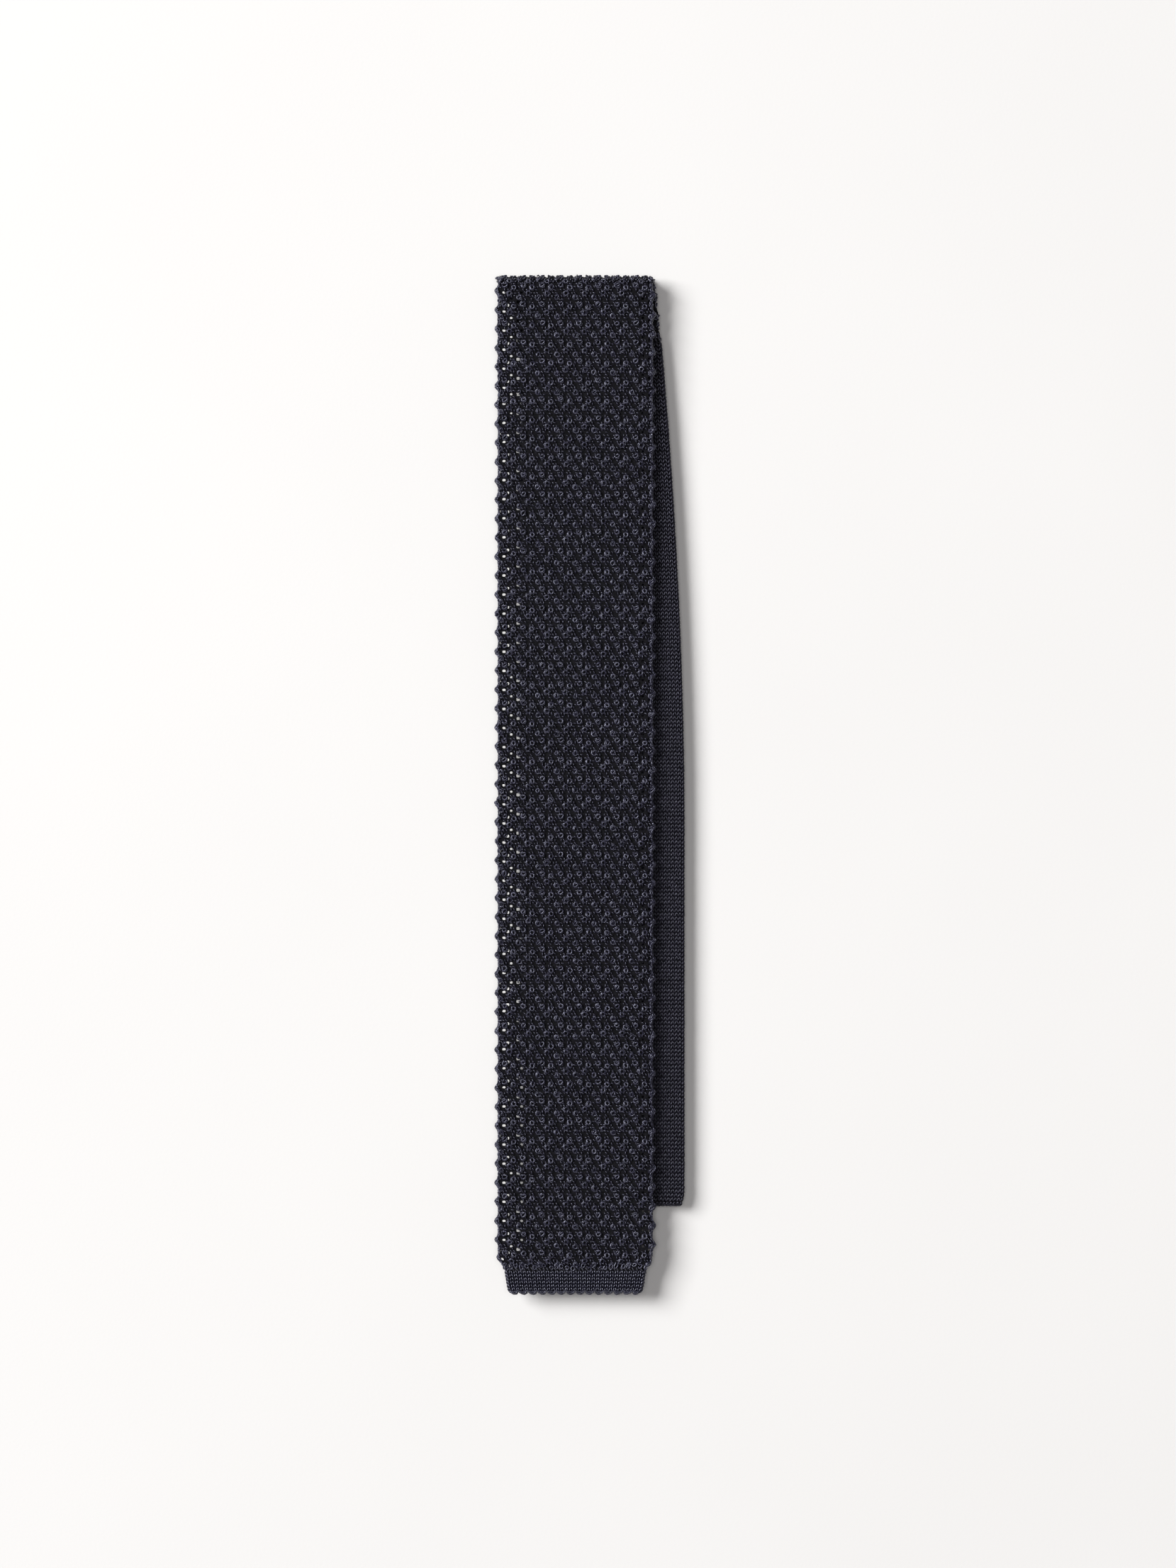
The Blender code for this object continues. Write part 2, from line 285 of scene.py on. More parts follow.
def wrapped_distance(site, other):
    """Distance in cells between two sites of the repeating cell."""
    return math.hypot(*((a - b + 0.5) % 1.0 - 0.5 for a, b in zip(site[:2], other[:2])))


knot_sites = [
    ((i + 0.5 * (j % 2)) / KNOTS_ACROSS, j / KNOTS_DOWN)
    for i in range(KNOTS_ACROSS) for j in range(KNOTS_DOWN)
]
# Small knots fill the cell between its raised loops and its gaps.
SMALL_KNOTS = [
    site for site in knot_sites
    if all(wrapped_distance(site, other) > KNOT_CLEARANCE for other in (*RAISED_LOOPS, *GAPS))
]


def yarn(name, runs, radius, material, sides=4):
    """One mesh of round yarn laid along many runs; each run is an array of point and x, y, z."""
    curve = bpy.data.curves.new(name, "CURVE")
    curve.dimensions = "3D"
    curve.bevel_depth = radius
    curve.bevel_resolution = (sides - 4) // 2
    curve.use_fill_caps = True
    for run in runs:
        spline = curve.splines.new("POLY")
        spline.points.add(len(run) - 1)
        spline.points.foreach_set("co", np.column_stack([run, np.ones(len(run))]).ravel())
        spline.use_smooth = True
    guide = bpy.data.objects.new(name, curve)
    scene.collection.objects.link(guide)
    graph = bpy.context.evaluated_depsgraph_get()
    mesh = bpy.data.meshes.new_from_object(guide.evaluated_get(graph))
    bpy.data.objects.remove(guide, do_unlink=True)
    mesh.name = name
    mesh.shade_smooth()
    mesh.materials.clear()
    mesh.materials.append(material)
    made = bpy.data.objects.new(name, mesh)
    scene.collection.objects.link(made)
    return made


def yarn_finish(name, colour, lit_colour, roughness, sheen, gloss=0.9):
    """Silk yarn: nearly black, with a cool gloss, slubs of lighter fibre and a fine twist."""
    made, shader, place = new_finish(name, {
        "Specular IOR Level": gloss,
        "Specular Tint": (0.80, 0.82, 1.0, 1.0),
        "Sheen Weight": sheen,
        "Sheen Roughness": 0.35,
        "Sheen Tint": (0.70, 0.70, 0.86, 1.0),
    })
    slub = grain(place, 420.0)
    fibre = grain(place, 3800.0, detail=3.0)
    connect(ramp(slub * 0.6 + fibre * 0.4, 0.38, colour, 0.66, lit_colour), shader, "Base Color")
    connect(roughness + 0.22 * (fibre - 0.5), shader, "Roughness")
    bumped(fibre, shader, 0.08 * MM, 0.9)
    return made


blade_yarn = yarn_finish(
    "silk_blade_yarn", (0.010, 0.0097, 0.019, 1.0), (0.040, 0.039, 0.068, 1.0), 0.24, 0.05, 1.0
)
# The knots and the wide lower loops are the blade's silk made darker: painted shade on the yarn that
# lies low.
shaded_knot_yarn = yarn_finish(
    "silk_shaded_knot_yarn", (0.006, 0.0053, 0.011, 1.0), (0.028, 0.026, 0.045, 1.0), 0.24, 0.03, 1.0
)


def shaded_ground_finish(name, colour, lit_colour, scale):
    """The crowded lower stitches under the raised loops, far darker than their yarn: painted shade."""
    made, shader, place = new_finish(name, {"Roughness": 0.8, "Specular IOR Level": 0.15})
    stitches = grain(place, scale, detail=3.0)
    connect(ramp(stitches, 0.35, colour, 0.7, lit_colour), shader, "Base Color")
    bumped(stitches, shader, 0.4 * MM)
    return made


# The blade's ground cloth is near black: painted shade in the recesses between the raised loops.
blade_ground = shaded_ground_finish(
    "blade_ground", (0.002, 0.002, 0.003, 1.0), (0.007, 0.0065, 0.010, 1.0), 900.0
)


def flat_run(fold_y, outer_z, facing, thick):
    """Path of a tube lying flat: turns distance down and height off its middle into y and z."""
    def path(down, height):
        return fold_y - down, outer_z - facing * thick(down) / 2 + facing * height
    return path


def pressed_tube(width, thick, edges, path, knobs, inset=LOOP_SINK):
    """Places knit on a flattened tube.

    across runs round the tube from the middle of its outer wall, down runs along it, and lift is out
    of the knit. edges gives the tube's left and right sides at a distance down, and width is the
    width at which across is true to size.
    """
    half_width = width / 2
    bend = thick(np.zeros(1))[0] / 2
    straight = half_width - bend
    girth = 4 * straight + 2 * math.pi * bend

    def place(across, down, lift):
        across, down, lift = np.broadcast_arrays(across, down, lift)
        across = (across + girth / 2) % girth - girth / 2
        side = np.where(across < 0, -1.0, 1.0)
        along = np.abs(across)
        turn = np.clip((along - straight) / bend, 0.0, math.pi)
        on_back = along - straight - math.pi * bend
        out = np.where(along < straight, along, straight + bend * np.sin(turn))
        out = np.where(on_back > 0, straight - on_back, out)
        left, right = edges(down)
        out = out * (right - left) / width
        if knobs:
            phase = 0.5 + 0.5 * np.cos(2 * math.pi * (down / CELL_LENGTH - KNOB_SHIFT * side))
            swell = EDGE_BUMP * phase ** 3 - EDGE_RECESS
            reach = np.clip((out - (half_width - EDGE_REACH)) / EDGE_REACH, 0.0, 1.0)
            out = out + swell * reach ** 2
        out = out + lift * np.sin(turn)
        y, z = path(down, (thick(down) / 2 - inset + lift) * np.cos(turn))
        return np.stack([(left + right) / 2 + side * out, y, z], axis=-1)

    return place, girth


def lattice(sites, girth, start, end, walls):
    """Where each of a cell's sites falls on the tube, with the site's number."""
    cell = girth / CELLS_ROUND
    first = int(math.floor(start / CELL_LENGTH)) - 2
    last = int(math.ceil(end / CELL_LENGTH)) + 2
    column, row = np.meshgrid(np.arange(CELLS_ROUND), np.arange(first, last), indexing="ij")
    for number, site in enumerate(sites):
        across = ((column + site[0]) * cell).ravel() - girth / 2
        down = ((row + site[1]) * CELL_LENGTH).ravel()
        across = across + rng.normal(0.0, UNEVEN_ACROSS, len(across))
        down = down + rng.normal(0.0, UNEVEN_DOWN, len(down))
        kept = (down > start) & (down < end)
        round_by = np.abs((across + girth / 2) % girth - girth / 2)
        on_front = round_by < girth / 4 + FRONT_OVERLAP
        if walls == "front":
            kept &= on_front
        elif walls == "back":
            kept &= ~on_front
        yield number, across[kept], down[kept]


def raised_loops(place, girth, start, end, points, walls):
    """Runs of the raised round loops on the given walls, and of the wider loops they stand on."""
    found, under = [], []
    for number, across, down in lattice(RAISED_LOOPS, girth, start, end, walls):
        _, _, wide, tall, turn, sweep, opening, height = RAISED_LOOPS[number]
        count = len(across)
        grow = rng.normal(1.0, 0.10, (2, count, 1))
        lean = turn + rng.normal(0.0, 0.22, (count, 1))
        share = np.linspace(-0.5, 0.5, points)[None, :]
        angle = opening + rng.normal(0.0, 0.5, (count, 1)) + math.pi + share * sweep * 2 * math.pi
        wide_by = wide * MM * grow[0] * np.cos(angle)
        tall_by = tall * MM * grow[1] * np.sin(angle)
        tip_wide, tip_tall = rng.normal(0.0, 0.20, (2, count, 1))
        lift = height * MM + tip_wide * wide_by + tip_tall * tall_by
        lift = lift - LOOP_END_DROP * np.abs(2 * share) ** 5
        lift = np.minimum(lift, LOOP_SINK - YARN_RADIUS)
        run_across = across[:, None] + wide_by * np.cos(lean) - tall_by * np.sin(lean)
        run_down = down[:, None] + wide_by * np.sin(lean) + tall_by * np.cos(lean)
        found.append(place(run_across, run_down, lift))
        angle = opening + rng.uniform(2.0, 4.0, (count, 1)) + UNDER_TURN[None, :]
        half = rng.normal(UNDER_HALF, 0.07, (count, 1)) * MM
        run_across = across[:, None] + half * np.cos(angle)
        run_down = down[:, None] + 1.05 * half * np.sin(angle)
        drop = -UNDER_DROP + rng.normal(0.0, 0.10, (count, 1)) * MM * np.sin(angle)
        under.append(place(run_across, run_down, drop))
    return np.concatenate(found), np.concatenate(under)


def small_knots(place, girth, start, end, walls):
    """Runs of the short arcs of yarn that show between the raised loops."""
    found = []
    share = np.linspace(-1.0, 1.0, 3)[None, :]
    for _, across, down in lattice(SMALL_KNOTS, girth, start, end, walls):
        lean = rng.uniform(0.2, 1.6, (len(across), 1))
        half = rng.normal(KNOT_HALF, 0.06, lean.shape) * MM
        depth = KNOT_DEPTH + rng.normal(0.0, 0.14, lean.shape)
        run_across = across[:, None] + half * share * np.cos(lean)
        run_down = down[:, None] + half * share * np.sin(lean)
        found.append(place(run_across, run_down, -MM * (depth + 0.5 * share ** 2)))
    return np.concatenate(found)


def clear_of(runs, gaps, reach):
    """The runs that leave the see-through gaps open."""
    if not gaps:
        return runs
    middles = runs.mean(axis=1)[:, None, :2]
    nearest = np.linalg.norm(middles - np.array(gaps)[None, :, :], axis=2).min(axis=1)
    return runs[nearest > reach]


def tube_ground(name, place, girth, start, end, columns, rows, lift, material, holes=None):
    """The closed lower cloth of a tube: both walls, capped ends, and through holes where asked."""
    bm = bmesh.new()
    bmesh.ops.create_grid(bm, x_segments=2 * columns, y_segments=rows, size=0.5)
    grid = np.array([vert.co for vert in bm.verts])
    across = grid[:, 0] * girth
    down = start + (grid[:, 1] + 0.5) * (end - start)
    waves = round(girth / RIPPLE_PITCH)
    ripple = RIPPLE * np.cos(2 * math.pi * waves * across / girth) * np.sin(down / RIPPLE_LENGTH)
    for vert, spot in zip(bm.verts, place(across, down, lift + ripple)):
        vert.co = Vector(spot)
    bmesh.ops.remove_doubles(bm, verts=bm.verts[:], dist=WELD)
    bmesh.ops.holes_fill(bm, edges=[edge for edge in bm.edges if edge.is_boundary])
    if holes:
        holes(bm)
    bmesh.ops.recalc_face_normals(bm, faces=bm.faces)
    return finished(name, bm, material)


# The front blade: a 60 mm wide tube of open-work silk knit that lies face up on top, with the largest
# loops on the tie. Its two walls are one cloth, knitted in the round, and light comes through both of
# them beside the edges. Its last rows are drawn in towards the seam of the hem.

TOP_Y = high_corner[1]
OPEN_LEFT = 9.5 * MM
OPEN_RIGHT = 4.5 * MM
OPEN_MARGIN = 1.2 * MM
SAME_SPOT = 0.05 * MM
GAP_HALF_WIDTH = 0.70 * MM
GAP_HALF_HEIGHT = 0.62 * MM
GAP_CORNER = 0.30 * MM
UNDER_TO_GAP = 0.95 * MM
LOOP_TO_GAP = 1.2 * MM
KNOT_TO_GAP = 0.85 * MM
BACK_KNOT_TO_GAP = 0.95 * MM
DRAWN_LENGTH = 7 * MM
BLADE_DRAWN_IN = 2.1 * MM
BLADE_GRID = (46, 310)


def measures(node):
    """A CAD node's extent: distances down from the top fold, left, right, bottom and top."""
    low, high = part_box(node)
    return TOP_Y - high[1], TOP_Y - low[1], low[0], high[0], low[2], high[2]


def drawn_in(left, right, end, amount):
    """Straight sides that are drawn in towards the seam over the knit's last few rows."""
    def edges(down):
        pull = amount * np.clip((down - end + DRAWN_LENGTH) / DRAWN_LENGTH, 0.0, 1.0) ** 2
        return left + pull, right - pull
    return edges


def even(thickness):
    """A tube of the same thickness all along."""
    return lambda down: thickness + 0 * down


def open_gaps(left, right, girth, spots):
    """Cuts through holes in both walls at once, in the open bands by the edges, and lists them."""
    cell = girth / CELLS_ROUND
    centre_x = (left + right) / 2
    corners = []

    def cut(bm):
        pairs = {}
        for face in bm.faces:
            spot = face.calc_center_median()
            if spot.x < left + OPEN_LEFT or spot.x > right - OPEN_RIGHT:
                if len(face.verts) == 4 and left + OPEN_MARGIN < spot.x < right - OPEN_MARGIN:
                    key = (round(spot.x / SAME_SPOT), round(spot.y / SAME_SPOT))
                    pairs.setdefault(key, []).append(face)
        pairs = {key: faces for key, faces in pairs.items() if len(faces) == 2}
        taken = set()
        for key, faces in sorted(pairs.items()):
            spot = faces[0].calc_center_median()
            across = (spot.x - centre_x + girth / 2) / cell
            down = (TOP_Y - spot.y) / CELL_LENGTH
            for site_across, site_down, rim in GAPS:
                near = abs((across - site_across + 0.5) % 1.0 - 0.5) * cell
                under = abs((down - site_down + 0.5) % 1.0 - 0.5) * CELL_LENGTH
                verts = {vert.index for face in faces for vert in face.verts}
                if near < GAP_HALF_WIDTH and under < GAP_HALF_HEIGHT and not verts & taken:
                    taken |= verts
                    open_one(bm, faces, (rim + abs(rng.normal(0.0, 0.05))) * MM)
                    spots.append((spot.x, spot.y))
                    break

    def open_one(bm, faces, rim):
        bmesh.ops.inset_individual(bm, faces=faces, thickness=rim)
        edges = [edge for face in faces for edge in face.edges]
        bmesh.ops.delete(bm, geom=faces, context="FACES_ONLY")
        corners.extend(bmesh.ops.bridge_loops(bm, edges=edges)["edges"])

    def prepared(bm):
        bm.verts.index_update()
        cut(bm)
        bmesh.ops.bevel(
            bm, geom=corners, offset=GAP_CORNER, offset_type="OFFSET", segments=2, profile=0.5,
            affect="EDGES", material=-1,
        )

    return prepared


def open_knit(name, place, girth, start, end, fine, gaps=(), halves=1):
    """All the yarn of a stretch of open-work tube; fine gives its outer wall rounder yarn."""
    made, under = [], []
    cuts = np.linspace(start, end, halves + 1)
    for number, (near, far) in enumerate(zip(cuts, cuts[1:]), 1):
        points, sides = (10, 6) if fine else (8, 4)
        label = f"{name}_loops_{number}" if halves > 1 else f"{name}_loops"
        runs, wider = raised_loops(place, girth, near, far, points, "front")
        made.append(yarn(label, runs, YARN_RADIUS, blade_yarn, sides))
        under.append(clear_of(wider, gaps, UNDER_TO_GAP))
    made.append(yarn(f"{name}_under_loops", np.concatenate(under), UNDER_RADIUS, shaded_knot_yarn))
    runs, _ = raised_loops(place, girth, start, end, 8, "back")
    runs = clear_of(runs, gaps, LOOP_TO_GAP)
    made.append(yarn(f"{name}_back_loops", runs, YARN_RADIUS, blade_yarn))
    runs = clear_of(small_knots(place, girth, start, end, "front"), gaps, KNOT_TO_GAP)
    if fine:
        made.append(yarn(f"{name}_knots_1", runs[::2], KNOT_RADIUS, shaded_knot_yarn))
        made.append(yarn(f"{name}_knots_2", runs[1::2], KNOT_RADIUS, shaded_knot_yarn))
    else:
        made.append(yarn(f"{name}_knots", runs[::2], KNOT_RADIUS, shaded_knot_yarn))
    runs = small_knots(place, girth, start, end, "back")[::3]
    runs = clear_of(runs, gaps, BACK_KNOT_TO_GAP)
    made.append(yarn(f"{name}_back_knots", runs, KNOT_RADIUS * 1.1, shaded_knot_yarn))
    return made


KNOB_STEP = 0.55
KNOB_HALF = 0.62 * MM
# Each loop of a knob, and of the plainer edge between knobs: steps round the edge, mm along it.
KNOB_LOOPS = (
    (-2.2, 0.4), (-1.2, -0.6), (-0.4, 0.5), (0.5, -0.5), (1.3, 0.6), (2.2, -0.3), (-1.6, 0.9),
    (-1.5, 2.0), (0.0, 2.3), (1.5, 2.1), (-1.4, 3.7), (0.1, 3.8), (1.4, 3.6), (-1.5, 5.2),
    (0.0, 5.3), (1.5, 5.1),
)


def edge_knobs(name, place, girth, start, end):
    """The knobs of crowded loops along both edges of a tube."""
    runs = []
    share = np.linspace(0.0, 1.75 * math.pi, 7)
    for side in (-1, 1):
        for row in range(int(start / CELL_LENGTH) - 1, int(end / CELL_LENGTH) + 2):
            middle_down = (row + KNOB_SHIFT * side) * CELL_LENGTH
            for step, shift in KNOB_LOOPS:
                across = side * (girth / 4 + step * KNOB_STEP * MM) + rng.normal(0.0, 0.12 * MM)
                down = middle_down + shift * MM + rng.normal(0.0, 0.2 * MM)
                if not start < down < end - 0.9 * MM:
                    continue
                half = KNOB_HALF * rng.normal(1.0, 0.1)
                opening = rng.uniform(0.0, 2 * math.pi)
                run_across = across + half * np.cos(share + opening)
                run_down = down + 1.15 * half * np.sin(share + opening)
                lift = rng.normal(0.0, 0.2) * half * np.cos(share + opening)
                runs.append(place(run_across, run_down, lift))
    return yarn(name, runs, YARN_RADIUS, blade_yarn)


LAST_ROW_PITCH = 2.3 * MM
LAST_ROW_HALF = 0.72 * MM


def last_row(name, place, girth, end):
    """The uneven last row of loops, hanging over the seam below."""
    count = int(girth / LAST_ROW_PITCH)
    across = (np.arange(count)[:, None] / count - 0.5) * girth
    across = across + rng.normal(0.0, 0.3 * MM, (count, 1))
    down = end - 0.35 * MM + rng.normal(0.0, 0.45 * MM, (count, 1))
    angle = rng.uniform(0.0, 6.0, (count, 1)) + np.linspace(0.0, 1.8 * math.pi, 9)[None, :]
    run_across = across + LAST_ROW_HALF * np.cos(angle)
    run_down = down + rng.normal(0.85, 0.15, (count, 1)) * MM * np.sin(angle)
    lift = -0.12 * MM + rng.normal(0.0, 0.14, (count, 1)) * MM * np.cos(angle)
    return yarn(name, place(run_across, run_down, lift), YARN_RADIUS, blade_yarn, 6)


def fitted(pieces, body):
    """Fixes pieces to a body."""
    for piece in pieces:
        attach(piece, body)


start, end, left, right, bottom, top = measures("front_blade")
blade_edges = drawn_in(left, right, end, BLADE_DRAWN_IN)
blade_path = flat_run(TOP_Y, top, 1, even(top - bottom))
blade_place, blade_girth = pressed_tube(
    right - left, even(top - bottom), blade_edges, blade_path, True
)
gap_spots = []
cutter = open_gaps(left, right, blade_girth, gap_spots)
front_ground = tube_ground(
    "front_blade_ground", blade_place, blade_girth, start - 0.35 * MM, end, *BLADE_GRID,
    LOOP_SINK - GROUND_SINK, blade_ground, cutter,
)
blade_pieces = open_knit(
    "front_blade", blade_place, blade_girth, start, end, True, gap_spots, halves=2
)
blade_pieces.append(edge_knobs("front_blade_edge_knobs", blade_place, blade_girth, start, end))
blade_pieces.append(last_row("front_blade_last_row", blade_place, blade_girth, end))
fitted([*blade_pieces, front_ground], "blade")
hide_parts("front_blade")

# The top fold: the blade's own tube of knit, turned half round over the layers below. Nothing holds it
# but its pressed crease. It thins towards the end that goes under the blade.

FOLD_LAP = 0.4 * MM
FOLD_GRID = (46, 16)
_, _, _, _, neck_bottom, neck_top = measures("blade_knit_end")
BLADE_THICK = top - bottom
NECK_THICK = neck_top - neck_bottom
blade_turn_radius = (top - neck_bottom) / 2
blade_axis_z = (top + neck_bottom) / 2
blade_axis_y = TOP_Y - blade_turn_radius
turn_length = math.pi * blade_turn_radius


def turned_run(axis_y, axis_z, radius, side, facing, thick):
    """Path of a tube going half round a fold, from the upper layer's end to the lower one's.

    side is +1 where the fold bulges to +Y. The upper layer's outer wall is at the radius.
    """
    def path(down, height):
        angle = down / radius
        reach = radius - thick(down) / 2 + facing * height
        return axis_y + side * reach * np.sin(angle), axis_z + reach * np.cos(angle)
    return path


def straight_edges(left, right):
    """Sides that keep the same two places all along."""
    return lambda down: (left + 0 * down, right + 0 * down)


def turn_thickness(upper, lower, length):
    """Thickness that changes evenly over a length."""
    return lambda down: upper + (lower - upper) * np.clip(down / length, 0.0, 1.0)


blade_turn_thick = turn_thickness(BLADE_THICK, NECK_THICK, turn_length)
blade_turn_path = turned_run(blade_axis_y, blade_axis_z, blade_turn_radius, 1, 1, blade_turn_thick)
turn_place, turn_girth = pressed_tube(
    right - left, blade_turn_thick, straight_edges(left, right), blade_turn_path, True
)
turn_pieces = open_knit(
    "blade_fold", turn_place, turn_girth, -FOLD_LAP, turn_length + FOLD_LAP, True
)
turn_ground = tube_ground(
    "blade_fold_ground", turn_place, turn_girth, 0.0, turn_length, *FOLD_GRID,
    LOOP_SINK - GROUND_SINK, blade_ground,
)
for piece in [*turn_pieces, turn_ground]:
    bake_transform(piece)
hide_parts("blade_fold_turn")
blade_pieces += [*turn_pieces, turn_ground]

# The end of the blade's knit under the fold, and the upper neck run linked to it: a plainer, finer
# tube of silk jersey, knitted in the round and pressed flat. It is wide at the fold and narrows to
# 38 mm, and its right edge is what shows beside the blade.

WALE = 1.40 * MM
COURSE = 1.55 * MM
STITCH_SINK = 0.34 * MM
NECK_GROUND_SINK = 0.62 * MM
END_GROUND_SINK = 0.75 * MM
END_CLEAR = 1.2 * MM
LEG_SIZE = (0.225, 0.30, 0.76)
LEG_SPREAD = 0.25
LEG_LEAN = 0.34
STITCH_UNEVEN = 0.045 * MM
NECK_TAPER = 210 * MM
CORNER_START = 353.5 * MM
CORNER_LENGTH = 5 * MM
CORNER_TUCK = 0.7 * MM
NECK_GRID = (20, 120)


def pair_of_legs(wale, course, segments, rings):
    """One jersey stitch: two leaning legs that meet at the bottom, as a small mesh."""
    bm = bmesh.new()
    for side in (-1, 1):
        leg = bmesh.ops.create_uvsphere(
            bm, u_segments=segments, v_segments=rings, radius=1.0
        )["verts"]
        leg_size = (LEG_SIZE[0] * wale, LEG_SIZE[1] * wale, LEG_SIZE[2] * course)
        bmesh.ops.scale(bm, verts=leg, vec=leg_size)
        bmesh.ops.rotate(
            bm, verts=leg, cent=(0, 0, 0), matrix=Matrix.Rotation(math.pi / 2, 3, "X")
        )
        bmesh.ops.rotate(
            bm, verts=leg, cent=(0, 0, 0), matrix=Matrix.Rotation(side * LEG_LEAN, 3, "Z")
        )
        bmesh.ops.translate(bm, verts=leg, vec=(side * LEG_SPREAD * wale, 0.0, 0.0))
    mesh = bpy.data.meshes.new("stitch")
    bm.to_mesh(mesh)
    bm.free()
    return mesh


def jersey(name, place, girth, start, end, wale, course, material, wall, segments=4, rings=3):
    """A wall of jersey stitches on a tube, laid out in rows and columns and then put in place."""
    stitch = bpy.data.objects.new(name, pair_of_legs(wale, course, segments, rings))
    scene.collection.objects.link(stitch)
    wales = int(round(girth / 2 / wale)) + 1
    courses = int(round((end - start) / course))
    for count, offset in ((wales, (wale, 0, 0)), (courses, (0, course, 0))):
        array = stitch.modifiers.new("rows", "ARRAY")
        array.use_relative_offset = False
        array.use_constant_offset = True
        array.constant_offset_displace = offset
        array.count = count
    graph = bpy.context.evaluated_depsgraph_get()
    mesh = bpy.data.meshes.new_from_object(stitch.evaluated_get(graph))
    per_stitch = len(stitch.data.vertices)
    bpy.data.objects.remove(stitch, do_unlink=True)
    spots = np.empty(len(mesh.vertices) * 3)
    mesh.vertices.foreach_get("co", spots)
    spots = spots.reshape(-1, per_stitch, 3)
    spots = spots + rng.normal(0.0, STITCH_UNEVEN, (len(spots), 1, 3))
    spots = spots.reshape(-1, 3)
    across = spots[:, 0] - (wales - 1) * wale / 2
    down = start + (spots[:, 1] + course / 2) * (end - start) / (courses * course)
    if wall == "back":
        across = across + girth / 2
        across = (across + girth / 2) % girth - girth / 2
    mesh.vertices.foreach_set("co", place(across, down, spots[:, 2]).ravel())
    mesh.name = name
    mesh.shade_smooth()
    mesh.materials.clear()
    mesh.materials.append(material)
    made = bpy.data.objects.new(name, mesh)
    scene.collection.objects.link(made)
    return made


neck_yarn = yarn_finish(
    "silk_neck_yarn", (0.007, 0.0063, 0.011, 1.0), (0.021, 0.0185, 0.031, 1.0), 0.34, 0.02, 0.8
)
# The neck's ground cloth is near black: painted shade in the gaps between the jersey stitches.
neck_ground = shaded_ground_finish(
    "neck_ground", (0.002, 0.002, 0.003, 1.0), (0.006, 0.006, 0.009, 1.0), 1400.0
)


def corner_tuck(down):
    """How far each side is tucked in at the corners of the bottom fold."""
    return CORNER_TUCK * np.clip((down - CORNER_START) / CORNER_LENGTH, 0.0, 1.0) ** 2


def upper_edges(down):
    """Sides of the upper neck run: wide and further left at the top, 38 mm wide from there on."""
    spread = np.clip(1 - down / NECK_TAPER, 0.0, 1.0) ** 1.8
    tuck = corner_tuck(down)
    right = (36.0 - 11.2 * spread) * MM
    return right - (38 + 22 * spread) * MM + tuck, right - tuck


upper_path = flat_run(TOP_Y, neck_top, 1, even(NECK_THICK))
end_start, end_end = measures("blade_knit_end")[:2]
end_place, end_girth = pressed_tube(60 * MM, even(NECK_THICK), upper_edges, upper_path, True)
end_pieces = open_knit("blade_end", end_place, end_girth, end_start + END_CLEAR, end_end, False)
end_ground = tube_ground(
    "blade_end_ground", end_place, end_girth, end_start, end_end, 40, 18, LOOP_SINK - END_GROUND_SINK,
    blade_ground,
)
fitted([*end_pieces, end_ground], "upper_neck")
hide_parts("blade_knit_end")

start, end, _, _, bottom, top = measures("upper_neck_band")
upper_place, neck_girth = pressed_tube(
    38 * MM, even(NECK_THICK), upper_edges, upper_path, False, STITCH_SINK
)
upper_stitches = [
    jersey(
        f"upper_neck_{label}stitches", upper_place, neck_girth, start, end, WALE, COURSE, neck_yarn,
        wall, rings=rings,
    )
    for label, wall, rings in (("", "front", 3), ("back_", "back", 2))
]
upper_ground = tube_ground(
    "upper_neck_ground", upper_place, neck_girth, start, end, *NECK_GRID,
    STITCH_SINK - NECK_GROUND_SINK, neck_ground,
)
fitted([*upper_stitches, upper_ground], "upper_neck")
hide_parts("upper_neck_band")

# The linking seam of the blade and the neck: the open knit's last loops are joined to the neck's first
# jersey stitches by a row of short leaning stitches of the same silk, sewn all round the tube.

OVERCAST_PITCH = 1.5 * MM
OVERCAST_RADIUS = 0.28 * MM
OVERCAST_LAP = 0.3 * MM
SEAM_LAP = 0.2 * MM
SEAM_GROUND_SINK = 0.6 * MM
SEAM_GRID = (24, 2)


def overcast(place, girth, start, end, pitch, radius, material, name):
    """A row of short leaning stitches sewn over a seam, all round the tube."""
    count = int(girth / pitch)
    across = (np.arange(count)[:, None] / count - 0.5) * girth
    across = across + rng.normal(0.0, 0.1 * MM, (count, 1))
    share = np.linspace(-1.0, 1.0, 6)[None, :]
    run_across = across + 0.45 * pitch * share * rng.normal(1.0, 0.15, (count, 1))
    run_down = (start + end) / 2 + 0.5 * (end - start) * share
    lift = (0.10 - 0.75 * np.abs(share) ** 2.5) * MM + 0 * across
    return yarn(name, place(run_across, run_down, lift), radius, material)


seam_yarn = yarn_finish(
    "silk_seam_yarn", (0.010, 0.010, 0.014, 1.0), (0.036, 0.035, 0.046, 1.0), 0.42, 0.15
)


def seam(name, node, edges, body, width):
    """A linked seam in place of its CAD node: its cloth and its row of stitches."""
    start, end, _, _, bottom, top = measures(node)
    thick = even(top - bottom)
    path = flat_run(TOP_Y, top, 1, thick)
    place, girth = pressed_tube(width, thick, edges, path, False, STITCH_SINK)
    stitches = overcast(
        place, girth, start - OVERCAST_LAP, end + OVERCAST_LAP, OVERCAST_PITCH, OVERCAST_RADIUS,
        seam_yarn, f"{name}_stitches",
    )
    ground = tube_ground(
        f"{name}_ground", place, girth, start - SEAM_LAP, end + SEAM_LAP, *SEAM_GRID,
        STITCH_SINK - SEAM_GROUND_SINK, neck_ground,
    )
    fitted([stitches, ground], body)
    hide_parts(node)
    return [stitches, ground]


upper_stitches += seam("blade_neck_seam", "blade_neck_seam", upper_edges, "upper_neck", 57 * MM)

# The middle of the neck: the same tube of silk jersey, which turns under itself at the bottom fold and
# goes back up, as the lower neck run, to its turn at the tail. Only the creases hold it folded.

